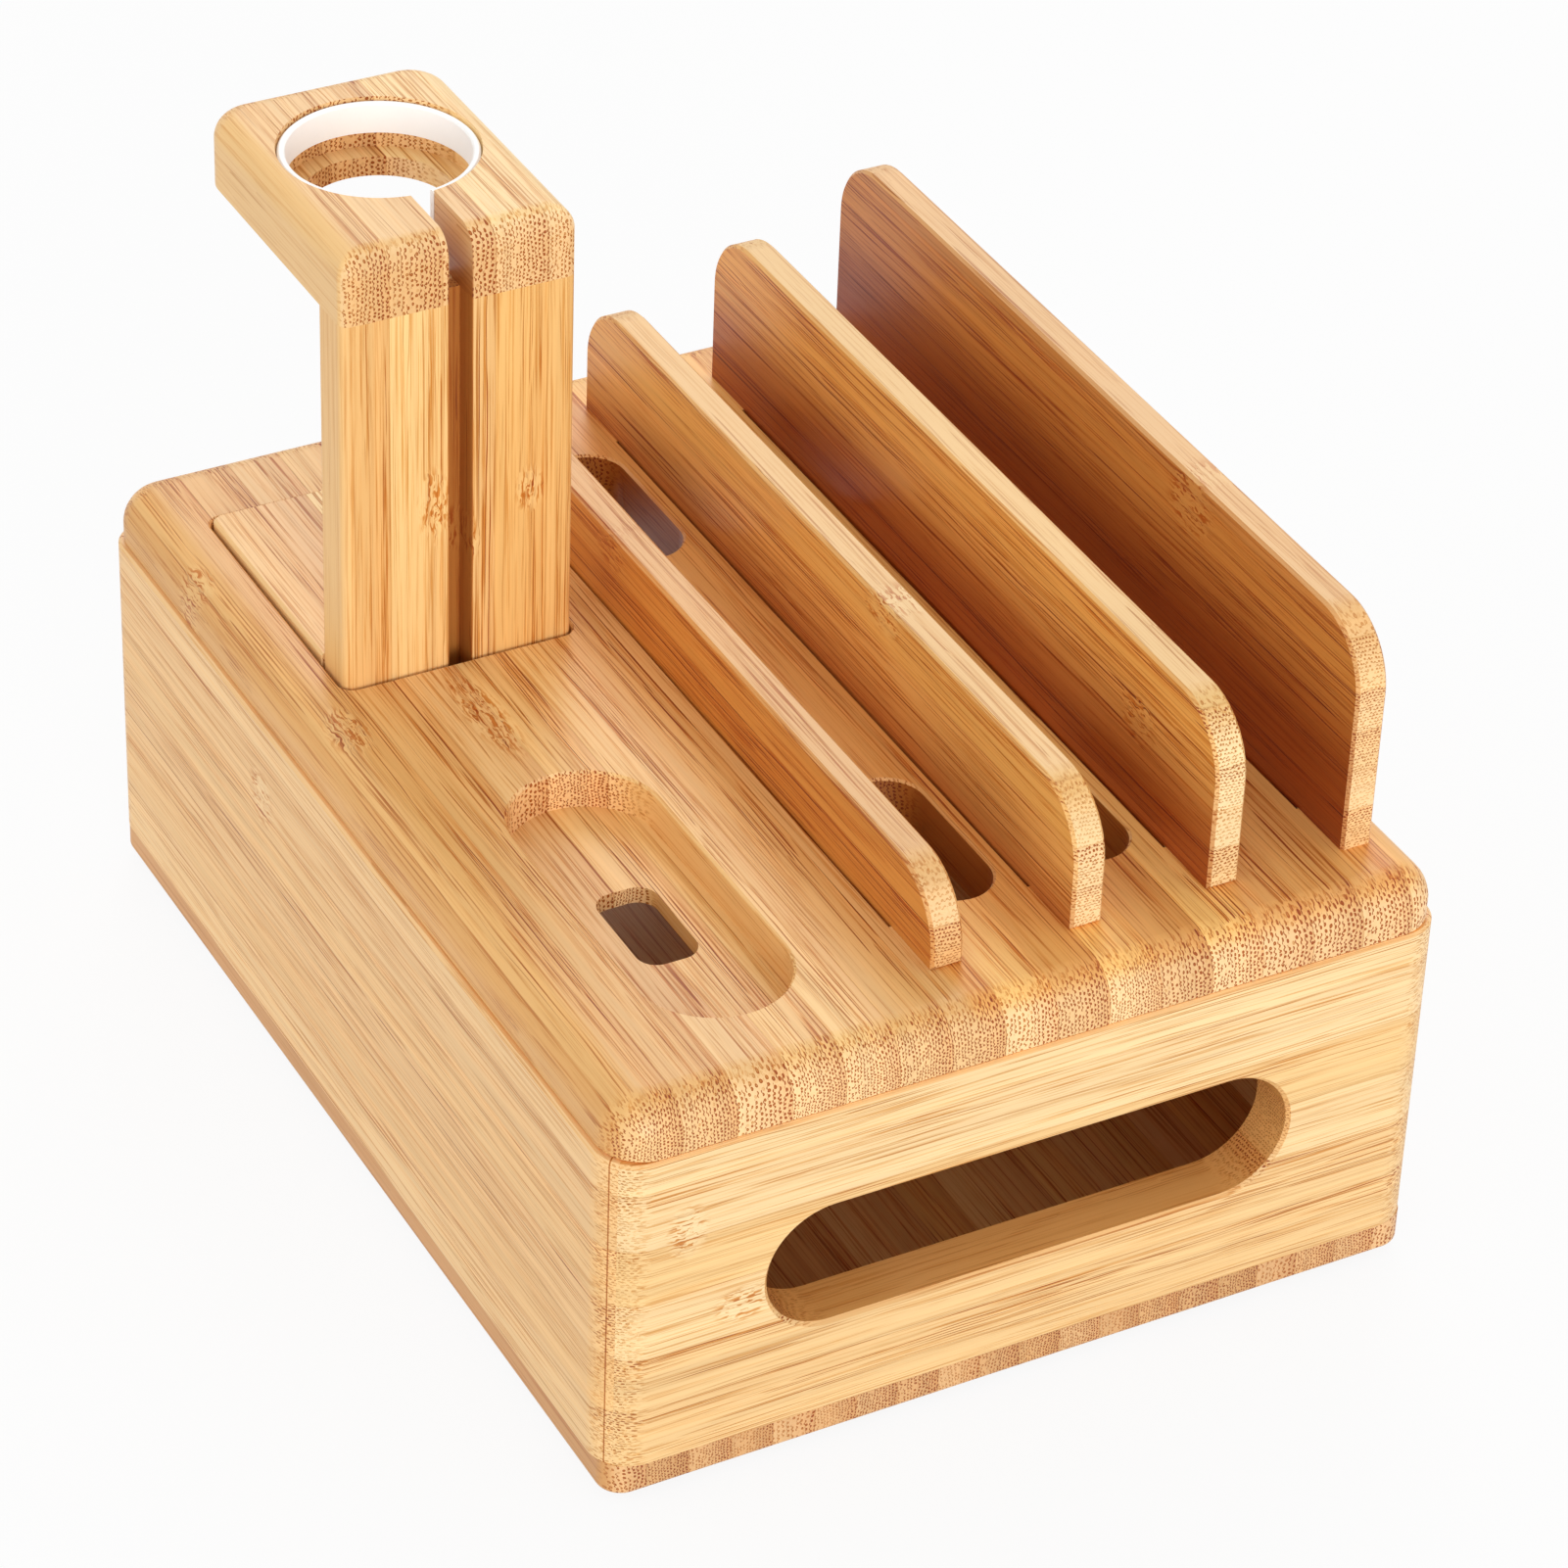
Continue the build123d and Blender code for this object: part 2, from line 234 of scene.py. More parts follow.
class Field:
    """A number that varies over a surface. Sums on it add Math nodes to its material."""

    def __init__(self, paint, socket):
        self.paint = paint
        self.socket = socket

    def math(self, operation, *terms):
        inputs = dict(enumerate(terms))
        node = self.paint.add("Math", {"operation": operation}, inputs)
        return Field(self.paint, node.outputs[0])

    def __add__(self, other):
        return self.math("ADD", self, other)

    def __radd__(self, other):
        return self.math("ADD", other, self)

    def __sub__(self, other):
        return self.math("SUBTRACT", self, other)

    def __rsub__(self, other):
        return self.math("SUBTRACT", other, self)

    def __mul__(self, other):
        return self.math("MULTIPLY", self, other)

    def __rmul__(self, other):
        return self.math("MULTIPLY", other, self)

    def __truediv__(self, other):
        return self.math("DIVIDE", self, other)

    def __pow__(self, other):
        return self.math("POWER", self, other)

    def __abs__(self):
        return self.math("ABSOLUTE", self)

    def whole(self):
        return self.math("FLOOR", self)

    def larger(self, other):
        return self.math("MAXIMUM", self, other)

    def smaller(self, other):
        return self.math("MINIMUM", self, other)

    def between(self, low, high):
        """low where the field is 0, and high where it is 1."""
        return low + self * (high - low)

    def rise(self, low, high):
        """0 below low, 1 above high, and a smooth step between them."""
        settings = {"interpolation_type": "SMOOTHSTEP"}
        inputs = {"Value": self, "From Min": low, "From Max": high}
        return Field(self.paint, self.paint.add("MapRange", settings, inputs).outputs[0])

    def fall(self, low, high):
        """1 below low, 0 above high, and a smooth step between them."""
        return 1 - self.rise(low, high)


class Paint:
    """A material, and the one way in which nodes join it."""

    def __init__(self, name):
        self.material = bpy.data.materials.new(name)
        self.material.use_nodes = True
        self.tree = self.material.node_tree
        self.tree.nodes.clear()

    def add(self, kind, settings=None, inputs=None):
        node = self.tree.nodes.new("ShaderNode" + kind)
        for key, value in (settings or {}).items():
            setattr(node, key, value)
        for key, value in (inputs or {}).items():
            if isinstance(value, Field):
                value = value.socket
            if isinstance(value, bpy.types.NodeSocket):
                self.tree.links.new(value, node.inputs[key])
            else:
                node.inputs[key].default_value = value
        return node

    def places(self):
        """Object coordinates in millimetres, by axis."""
        coordinates = self.add("TexCoord").outputs["Object"]
        parts = self.add("SeparateXYZ", inputs={"Vector": coordinates})
        return {axis: Field(self, parts.outputs[axis]) * PER_METRE for axis in "XYZ"}

    def normals(self):
        """The surface's direction, by axis."""
        parts = self.add("SeparateXYZ", inputs={"Vector": self.add("TexCoord").outputs["Normal"]})
        return {axis: Field(self, parts.outputs[axis]) for axis in "XYZ"}

    def vector(self, x, y, z=0.0):
        return self.add("CombineXYZ", inputs={"X": x, "Y": y, "Z": z}).outputs[0]

    def noise(self, x, y, z, detail=2.0, roughness=0.5):
        inputs = {"Vector": self.vector(x, y, z), "Scale": 1.0}
        inputs.update({"Detail": detail, "Roughness": roughness})
        return Field(self, self.add("TexNoise", inputs=inputs).outputs[0])

    def waves(self, x, y, z, detail=2.0, roughness=0.5):
        """Noise that rises and falls about zero."""
        return self.noise(x, y, z, detail, roughness) - 0.5

    def speckle(self, x_rate, y_rate, z_rate, detail=2.0, roughness=0.5):
        """Noise with so many waves to the millimetre along each axis."""
        place = self.places()
        x, y, z = place["X"] * x_rate, place["Y"] * y_rate, place["Z"] * z_rate
        return self.noise(x, y, z, detail, roughness)

    def cells(self, x, y, play):
        """How far the nearest of many points in a plane is, and two random numbers of it."""
        inputs = {"Vector": self.vector(x, y), "Scale": 1.0, "Randomness": play}
        node = self.add("TexVoronoi", {"voronoi_dimensions": "2D"}, inputs)
        parts = self.add("SeparateColor", inputs={"Color": node.outputs["Color"]}).outputs
        return [Field(self, socket) for socket in (node.outputs["Distance"], parts[0], parts[1])]

    def chances(self, x, y):
        """Four random numbers from 0 to 1 for each pair of whole numbers."""
        node = self.add("TexWhiteNoise", {"noise_dimensions": "2D"}, {"Vector": self.vector(x, y)})
        parts = self.add("SeparateColor", inputs={"Color": node.outputs["Color"]})
        return [Field(self, socket) for socket in (*parts.outputs, node.outputs["Value"])]

    def mix(self, share, first, second, blend="MIX"):
        settings = {"data_type": "RGBA", "blend_type": blend}
        node = self.add("Mix", settings, {0: share, 6: first, 7: second})
        return node.outputs[2]

    def tint(self, colour, share, tint):
        """Multiplies a colour by a tint, as far as the share says."""
        return self.mix(share, colour, (*tint, 1.0), "MULTIPLY")

    def stain(self, colour, share, tint):
        """Tints a colour twice over, so that a weak stain already has the full hue."""
        return self.tint(self.tint(colour, share, tint), share, tint)

    def scale(self, colour, factor):
        node = self.add("VectorMath", {"operation": "SCALE"}, {0: colour, 3: factor})
        return node.outputs[0]

    def finish(self, base, roughness, height, depth, **fixed):
        """The surface shader, with a bump whose full height is a depth in millimetres."""
        bump = self.add("Bump", inputs={"Distance": depth * MILLIMETRE, "Height": height})
        inputs = {"Base Color": base, "Roughness": roughness, "Normal": bump.outputs[0]}
        inputs.update(fixed)
        shader = self.add("BsdfPrincipled", inputs=inputs)
        self.add("OutputMaterial", inputs={"Surface": shader.outputs[0]})
        return self.material


def knuckle_reach(run, side, marks):
    """How far a place belongs to a knuckle of the cane, or None for a board without one."""
    reach = None
    for mark_run, mark_side, length, width in marks:
        off_run, off_side = (run - mark_run) / length, (side - mark_side) / width
        near = (off_run ** 2.0 + off_side ** 2.0).fall(*KNUCKLE_EDGE)
        reach = near if reach is None else reach.larger(near)
    return reach


def bamboo(name, along, across, pitch, joint, seed, marks=(), play=1.0, step=BUNDLE_STEP,
           dots=1.0, grain=1.0, bleach=1.0, tint=NO_TINT, tones=()):
    """Laminated bamboo: strips of cane glued side by side, fibres along one axis.

    along and across are the axes of the fibres and of the row of strips. pitch is a
    strip's width, joint the place of one glue line, step the distance between two fibre
    bundles, and each mark is a knuckle of the cane: its place along, its place across, its
    length and its width, all in millimetres. play is how much the strips differ, dots how
    dark the end grain is, grain how dark the streaks of the long faces are, and bleach how
    pale the end grain is between its dots. tones are the board's last tints, in turn,
    painted shade among them.
    """
    paint = Paint(name)
    place = paint.places()
    facing = paint.normals()
    run, side = place[along], place[across]
    (depth_axis,) = set("XYZ") - {along, across}
    depth = place[depth_axis]
    end = abs(facing[along]).rise(*END_TURN)
    cut = abs(facing[along]).rise(*CUT_TURN)
    flank = abs(facing[across]).rise(*FACE_TURN)

    strip = (side - joint) / pitch
    index = strip.whole()
    share = strip - index
    warm, pale, bold, coarse = paint.chances(index, seed)
    rind = share ** RIND_POWER
    own = index * STRIP_SHIFT + seed

    # The fibre bundles drift as they run, so that a planed face shows tapered streaks
    sway = paint.waves(run / SWAY_LENGTH, side / SWAY_WIDTH, depth / SWAY_WIDTH + own)
    drift = paint.waves(run / DRIFT_LENGTH, side / DRIFT_WIDTH + own, depth / DRIFT_DEPTH)
    across_place = side + sway * SWAY_REACH
    depth_place = depth + drift * DRIFT_REACH + own * DEPTH_SHIFT
    knuckle = knuckle_reach(run, side, marks)
    if knuckle is not None:
        swirl = paint.waves(run / SWIRL_LENGTH, side / SWIRL_WIDTH, own, *SOFT_DETAIL)
        across_place = across_place + knuckle * swirl * SWIRL_REACH
        depth_place = depth_place + knuckle * swirl * SWIRL_REACH

    # Every other column of bundles stands half a step along, as in the wall of the cane
    size = (USUAL_SIZE + (coarse ** 2.0 * COARSER_SIZE - FINER_SIZE) * play) * step
    columns = across_place / (size * COLUMN_SHARE)
    odd = columns.whole() * 0.5
    rows = depth_place / size + (odd - odd.whole())
    distance, chance, weight = paint.cells(columns, rows, BUNDLE_PLAY)
    present = (rind.between(*BUNDLES_KEPT) - chance).rise(*KEPT_EDGE)
    spot = distance.fall(*BUNDLE_EDGE)
    core = distance.fall(*CORE_EDGE)
    bundle = present * spot * (1 - core * (1 - rind) * end.between(*CORE_PALENESS))

    # Streaks on the long faces come and go, and the sides of the strips are the cleanest
    patch = paint.noise(run / PATCH_LENGTH, side / PATCH_WIDTH + own, depth / PATCH_WIDTH)
    patch = patch.rise(*PATCH_EDGE)
    taper = patch + cut * (1 - patch)
    uneven = weight.between(*BUNDLE_WEIGHTS) + end * (1 - weight) * END_EVENING
    strength = rind.between(*RIND_STRENGTH) * bold.between(*STRIP_STRENGTH) * uneven * taper
    streaky = (1 - flank * SIDE_CLEANNESS) * (1 - end) * grain
    visible = streaky * STREAK_STRENGTH + end * (DOT_STRENGTH * dots)
    streaks = (bundle * strength * visible).smaller(1.0)
    fibre_side, fibre_depth = side * FIBRES_PER_MILLIMETRE, depth * FIBRES_PER_MILLIMETRE
    fibre = paint.waves(run / FIBRE_LENGTH, fibre_side, fibre_depth, *FINE_DETAIL)
    lines = fibre.rise(*LINE_EDGE) * rind.between(*RIND_LINES) * patch.between(*PATCH_LINES)
    lines = (lines * streaky.between(*STREAKY_LINES)).smaller(1.0)
    glue = abs(share - 0.5).rise(0.5 - GLUE_WIDTH / pitch, 0.5)

    broad = paint.waves(run / BROAD_LENGTH, side / BROAD_WIDTH, own, *BROAD_DETAIL)
    base = paint.mix(warm * play, GOLDEN, ROSE)
    base = paint.mix(pale.rise(*CREAM_EDGE) * CREAM_SHARE * play, base, CREAM)
    base = paint.mix(end * pale.between(*END_PALENESS) * bleach, base, END_PALE)
    base = paint.mix(rind * AMBER_SHARE * play, base, AMBER)
    base = paint.scale(base, 1.0 + broad * BROAD_SHARE + (pale - 0.5) * PALE_LIFT * play)
    base = paint.stain(base, lines, LINE_TINT)
    base = paint.stain(base, streaks, BUNDLE_TINT)
    base = paint.stain(base, glue * GLUE_SHARE, GLUE_TINT)
    height = 1 - streaks * STREAK_DEPTH - lines * LINE_DEPTH - glue * GLUE_DEPTH
    if knuckle is not None:
        flecks = paint.noise(
            run / FLECK_LENGTH, across_place / FLECK_WIDTH, depth_place / FLECK_WIDTH, *SOFT_DETAIL
        ).rise(*FLECK_EDGE)
        base = paint.mix(knuckle * (1 - flecks) * FLECK_CREAM, base, CREAM)
        base = paint.stain(base, knuckle * flecks, KNUCKLE_TINT)
        height = height - knuckle * flecks * FLECK_DEPTH

    base = paint.tint(base, 1.0, tint)
    for tone in tones:
        base = tone(paint, place, facing, base)
    roughness = BAMBOO_ROUGHNESS + fibre * FIBRE_ROUGHNESS + streaks * STREAK_ROUGHNESS
    return paint.finish(base, roughness, height, BAMBOO_BUMP, **SATIN_FINISH)


# Tints that belong to one board: a tint on some faces, the dark mitre line, and painted shade
# in the lanes, the slots and on the dividers' fronts. Each takes a material, the place, the
# surface's direction and a colour, and returns the new colour.


def tinted_faces(axis, tint):
    """A tint on the faces that look along an axis."""
    def tone(paint, place, facing, base):
        return paint.tint(base, abs(facing[axis]).rise(*FACE_TURN), tint)
    return tone


def mitre_joint(reach):
    """The dark line of the mitred corners, where x and y differ by reach."""
    def tone(paint, place, facing, base):
        off = abs(abs(place["X"]) - abs(place["Y"]) - reach)
        return paint.stain(base, off.fall(*MITRE_EDGE) * MITRE_SHARE, BUNDLE_TINT)
    return tone


def cord_slot_ends(paint, place, facing, base):
    """Painted shade on the round ends of a wall's cord slot."""
    inside = abs(facing["Y"]).rise(*END_TURN) * abs(place["Y"]).fall(*CORD_SLOT_REACH)
    return paint.tint(base, inside, END_WALL_SHADE_TINT)


def lane_shade(start, stop):
    """Painted shade on the lid behind the front divider, and in the cable slots there, up to stop
    in y.
    """
    def tone(paint, place, facing, base):
        behind = place["Y"].rise(start, start + LANE_FADE)
        # Painted shade on the lid's top between the dividers
        base = paint.tint(base, facing["Z"].rise(*FACE_TURN) * behind, LANE_SHADE_TINT)
        upright = 1 - abs(facing["Z"]).rise(*UPRIGHT_TURN)
        before = place["Y"].fall(stop, stop + SHADE_FADE)
        within = behind * before * abs(place["X"]).fall(*LANE_ENDS)
        # Painted shade on the upright faces of the lid's cable slots between the dividers
        return paint.tint(base, upright * within, SLOT_SHADE_TINT)
    return tone


def divider_shade(face_shade, low, high):
    """A divider's painted shade: a tint on its broad faces, weaker on its back, and shade on its
    front that deepens towards its foot.
    """
    def tone(paint, place, facing, base):
        back = facing["Y"].rise(*FACE_TURN)
        turned = abs(facing["Y"]).rise(*FACE_TURN) * (1 - back * BACK_SHARE)
        base = paint.tint(base, turned, face_shade)
        front = (facing["Y"] * -1.0).rise(*FACE_TURN)
        return paint.tint(base, front * place["Z"].fall(low, high), FOOT_SHADE_TINT)
    return tone


def cable_slot_shade(middle, start, low, high):
    """Painted shade in the stand's cable slot, which starts in x and fades between two heights."""
    def tone(paint, place, facing, base):
        inside = abs(place["Y"] - middle).fall(SLOT_HALF, SLOT_HALF + SLOT_EDGE)
        inside = inside * place["X"].rise(start, start + SHADE_FADE) * place["Z"].fall(low, high)
        return paint.tint(base, inside, SLOT_SHADE_TINT)
    return tone


def silicone(name):
    """Matt white silicone with a bloom of fine dust, and a faint painted glow that lightens it."""
    paint = Paint(name)
    dust = paint.speckle(3.0, 3.0, 3.0, *FINE_DETAIL)
    cloud = paint.speckle(1 / 9, 1 / 9, 1 / 9)
    base = paint.mix(cloud * 0.5, SILICONE_WHITE, SILICONE_SHADE)
    # A faint painted glow lightens the silicone's shading
    glow = {"Emission Color": SILICONE_GLOW, "Emission Strength": SILICONE_GLOW_STRENGTH}
    return paint.finish(base, 0.46 + dust * 0.12, dust, 0.01, **glow)


def rubber(name):
    """Soft grey foot rubber with a fine moulded grain."""
    paint = Paint(name)
    grain = paint.speckle(4.0, 4.0, 4.0, *BROAD_DETAIL)
    base = paint.mix(grain, RUBBER_LIGHT, RUBBER_DARK)
    return paint.finish(base, 0.62 + grain * 0.2, grain, 0.03)


def plated_steel(name):
    """Zinc-plated steel with turning lines round each screw."""
    paint = Paint(name)
    rings = paint.speckle(1.5, 1.5, 14.0)
    base = paint.mix(rings, ZINC_LIGHT, ZINC_DARK)
    return paint.finish(base, 0.24 + rings * 0.18, rings, 0.01, Metallic=1.0)


def hardwood(name):
    """Plain beech for dowels, with short pores along the peg."""
    paint = Paint(name)
    pores = paint.speckle(3.0, 3.0, 0.5, *BROAD_DETAIL)
    base = paint.mix(pores.rise(0.45, 0.65), BEECH_LIGHT, BEECH_DARK)
    return paint.finish(base, 0.6 + pores * 0.1, pores, 0.03)


def millimetres(node):
    """A node's lowest and highest corners in millimetres."""
    low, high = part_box(node)
    return low * PER_METRE, high * PER_METRE


def dress(material, *names):
    """Gives CAD nodes their material."""
    for name in names:
        nodes[name].data.materials.clear()
        nodes[name].data.materials.append(material)


# Strip widths, glue lines and bundle steps of the boards, in millimetres
LID_STRIP = 8.97
LID_JOINT_FROM_FRONT = 10.65
BOTTOM_STRIP = 7.2
WALL_STRIP = 10.4
DIVIDER_STRIP = 7.3
STAND_STRIP = 9.0
STAND_JOINT = 8.0
FINE_STEP = 0.58
BOTTOM_STEP = 0.66
HEAD_STEP = 0.82

# How far from the post's right face the shade of the cable slot starts
POST_SLOT_START = 2.0
HEAD_SLOT_START = -6.0

# Each divider: its knuckles, the heights above the lid between which its front's painted shade
# fades, its tint, and the painted shade tint of its broad faces
DIVIDERS = {
    "front_divider": (
        ((-25.0, 86.0, 6.0, 4.0),), (-6.0, 0.0), (0.97, 0.88, 0.78), (0.83, 0.56, 0.27),
    ),
    "second_divider": (
        ((22.0, 95.0, 7.0, 4.0),), (-4.0, 14.0), (1.05, 1.08, 1.10), (1.02, 0.87, 0.60),
    ),
    "third_divider": (
        ((60.0, 92.0, 6.0, 5.0),), (4.0, 27.0), (1.05, 1.10, 1.10), (1.01, 0.77, 0.46),
    ),
    "back_divider": (
        ((33.0, 109.0, 8.0, 7.0),), (10.0, 34.0), (1.06, 1.02, 0.96), (0.76, 0.52, 0.29),
    ),
}
FIRST_DIVIDER_SEED = 20

lid_low, lid_high = millimetres("lid_board")
wall_low, wall_high = millimetres("front_wall")
post_low, post_high = millimetres("stand_post")
head_low, head_high = millimetres("stand_head")
pocket_middle = (post_low.y + post_high.y) / 2
mitre = mitre_joint(wall_high.x - millimetres("back_wall")[1].y)

dress(
    bamboo(
        "lid_bamboo", "X", "Y", LID_STRIP, lid_low.y + LID_JOINT_FROM_FRONT, seed=11,
        marks=((-11.5, -65.4, 8.0, 4.0), (-6.0, -44.0, 15.0, 4.0), (-62.0, -69.5, 6.0, 3.0)),
        dots=2.2, grain=1.15, tint=LID_TINT,
        tones=(
            # Painted shade between the dividers and in the lid's cable slots there
            lane_shade(millimetres("front_divider")[0].y, millimetres("third_divider")[0].y),
        ),
    ),
    "lid_board",
)
dress(
    bamboo(
        "bottom_bamboo", "X", "Y", BOTTOM_STRIP, 0.0, seed=5, step=BOTTOM_STEP, dots=1.5,
        tint=BOTTOM_TINT, tones=(tinted_faces("Y", BOTTOM_EDGE_TINT),),
    ),
    "bottom_board",
)
dress(
    bamboo(
        "long_wall_bamboo", "X", "Z", WALL_STRIP, wall_low.z, seed=3,
        marks=((-31.3, 51.0, 5.5, 6.0),), play=0.35, step=FINE_STEP, dots=1.2, grain=0.9,
        bleach=0.1, tint=WALL_TINT, tones=(mitre,),
    ),
    "front_wall",
    "back_wall",
)
dress(
    bamboo(
        "end_wall_bamboo", "Y", "Z", WALL_STRIP, wall_low.z, seed=8,
        marks=((-59.3, 50.5, 4.0, 6.0), (-49.4, 33.3, 6.0, 4.0)), play=0.3, step=FINE_STEP,
        dots=1.2, grain=0.85, bleach=0.0, tint=END_WALL_TINT,
        # Painted shade on the end walls' level faces, seen in the cord slot, and on the slot's
        # round ends
        tones=(mitre, tinted_faces("Z", END_WALL_SHADE_TINT), cord_slot_ends),
    ),
    "right_wall",
    "left_wall",
)
dress(
    bamboo("batten_bamboo", "Y", "X", STAND_STRIP, 0.0, seed=4),
    "left_batten",
    "right_batten",
)
for order, (name, (marks, fade, tint, face_shade)) in enumerate(DIVIDERS.items()):
    low, high = (lid_high.z + rise for rise in fade)
    material = bamboo(
        f"{name}_bamboo", "X", "Z", DIVIDER_STRIP, lid_high.z, seed=FIRST_DIVIDER_SEED + order,
        # Painted shade on the dividers' broad faces and up their fronts
        marks=marks, play=0.6, grain=1.4, tint=tint, tones=(divider_shade(face_shade, low, high),),
    )
    dress(material, name)
dress(
    bamboo(
        "stand_base_bamboo", "X", "Y", STAND_STRIP, post_low.y + STAND_JOINT, seed=31,
        tint=STAND_TINT,
    ),
    "stand_base",
)
dress(
    bamboo(
        "stand_post_bamboo", "Z", "Y", STAND_STRIP, post_low.y + STAND_JOINT, seed=32,
        marks=((105.0, -45.5, 8.0, 3.5), (97.0, -40.0, 5.0, 3.0), (104.0, -29.0, 5.0, 3.0)),
        play=0.6, step=FINE_STEP, tint=STAND_TINT,
        tones=(
            # Painted shade in the post's cable slot
            cable_slot_shade(
                pocket_middle, post_low.x + POST_SLOT_START, post_high.z, post_high.z + SHADE_FADE
            ),
        ),
    ),
    "stand_post",
)
dress(
    bamboo(
        "stand_head_bamboo", "X", "Y", STAND_STRIP, head_low.y + STAND_JOINT, seed=33,
        play=0.6, step=HEAD_STEP, dots=1.4, grain=0.8, tint=HEAD_TINT,
        tones=(
            tinted_faces("X", HEAD_END_TINT),
            # Painted shade in the head's cable slot
            cable_slot_shade(
                pocket_middle, post_low.x + HEAD_SLOT_START, head_low.z, head_high.z
            ),
        ),
    ),
    "stand_head",
)
dress(silicone("white_silicone"), "watch_ring")
dress(hardwood("dowel_beech"), "head_dowels", "foot_dowels")
dress(
    rubber("foot_rubber"),
    "foot_pad_front_left",
    "foot_pad_front_right",
    "foot_pad_back_left",
    "foot_pad_back_right",
)


# The screws under the bottom board, in millimetres apart from shares, counts and turns.
# SCREW_SHARE is how far along the long walls they stand, out from the middle.
SCREW_SHARE = 0.3
SCREW_HEAD_RADIUS = 2.9
SCREW_HEAD_HEIGHT = 1.6
SCREW_SHANK_RADIUS = 1.5
SCREW_CORE_RADIUS = 1.1
THREAD_PITCH = 1.3
THREAD_FROM = 6.0
POINT_LENGTH = 3.0
CROSS_REACH = 1.7
CROSS_HALF_WIDTH = 0.34
CROSS_DEPTH = 1.1
CROSS_TAPER = 0.45
SCREW_SIDES = 20
ROW_STEP = 0.26
ABOVE_HEAD = 0.2
THREAD_START_STEP = 0.01
LARGEST_TURN = math.pi / 2
TURN_SEED = 4


def solid(name, points, faces):
    """An object of a closed mesh whose faces look outwards. The points are in millimetres."""
    mesh = bpy.data.meshes.new(name)
    mesh.from_pydata([Vector(point) * MILLIMETRE for point in points], [], faces)
    shape = bmesh.new()
    shape.from_mesh(mesh)
    bmesh.ops.recalc_face_normals(shape, faces=shape.faces)
    shape.to_mesh(mesh)
    shape.free()
    thing = bpy.data.objects.new(name, mesh)
    bpy.context.scene.collection.objects.link(thing)
    return thing


def as_plain_mesh(thing, name):
    """The mesh that an object has with its modifiers."""
    graph = bpy.context.evaluated_depsgraph_get()
    mesh = bpy.data.meshes.new_from_object(thing.evaluated_get(graph), depsgraph=graph)
    mesh.name = name
    return mesh


def screw_blank(length):
    """A countersunk wood screw, point up, whose head is at the origin."""
    def radius(height, turn):
        if height <= SCREW_HEAD_HEIGHT:
            share = height / SCREW_HEAD_HEIGHT
            return SCREW_HEAD_RADIUS + (SCREW_SHANK_RADIUS - SCREW_HEAD_RADIUS) * share
        if height < THREAD_FROM:
            return SCREW_SHANK_RADIUS
        ridge = abs((height / THREAD_PITCH - turn) % 1.0 - 0.5) * 2.0
        left = min(1.0, (length - height) / POINT_LENGTH)
        return (SCREW_CORE_RADIUS + (SCREW_SHANK_RADIUS - SCREW_CORE_RADIUS) * ridge ** 2) * left

    heights = [0.0, SCREW_HEAD_HEIGHT, THREAD_FROM - THREAD_START_STEP]
    rows = math.ceil((length - THREAD_FROM) / ROW_STEP)
    heights += [THREAD_FROM + row * ROW_STEP for row in range(rows)]
    points = []
    for height in heights:
        for side in range(SCREW_SIDES):
            turn = side / SCREW_SIDES
            reach = radius(height, turn)
            angle = turn * 2 * math.pi
            points.append((reach * math.cos(angle), reach * math.sin(angle), height))
    faces = []
    for row in range(len(heights) - 1):
        for side in range(SCREW_SIDES):
            start, after = row * SCREW_SIDES, (side + 1) % SCREW_SIDES
            above = start + SCREW_SIDES
            faces.append((start + side, start + after, above + after, above + side))
    tip = len(points)
    points.append((0.0, 0.0, length))
    last = tip - SCREW_SIDES
    faces += [(last + side, last + (side + 1) % SCREW_SIDES, tip) for side in range(SCREW_SIDES)]
    faces.append(tuple(range(SCREW_SIDES)))
    return solid("screw_blank", points, faces)


def cross_cutter():
    """The tapered cross that is pressed into a screw's head."""
    corner = [
        (CROSS_REACH, CROSS_HALF_WIDTH), (CROSS_HALF_WIDTH, CROSS_HALF_WIDTH),
        (CROSS_HALF_WIDTH, CROSS_REACH),
    ]
    outline = []
    for quarter in range(4):
        turn = Matrix.Rotation(quarter * math.pi / 2, 2)
        outline += [turn @ Vector(place) for place in corner]
    levels = ((-ABOVE_HEAD, 1.0), (CROSS_DEPTH, CROSS_TAPER))
    points = [(p.x * size, p.y * size, height) for height, size in levels for p in outline]
    count = len(outline)
    faces = [tuple(range(count)), tuple(range(2 * count - 1, count - 1, -1))]
    for place in range(count):
        after = (place + 1) % count
        faces.append((place, after, count + after, count + place))
    return solid("cross_cutter", points, faces)


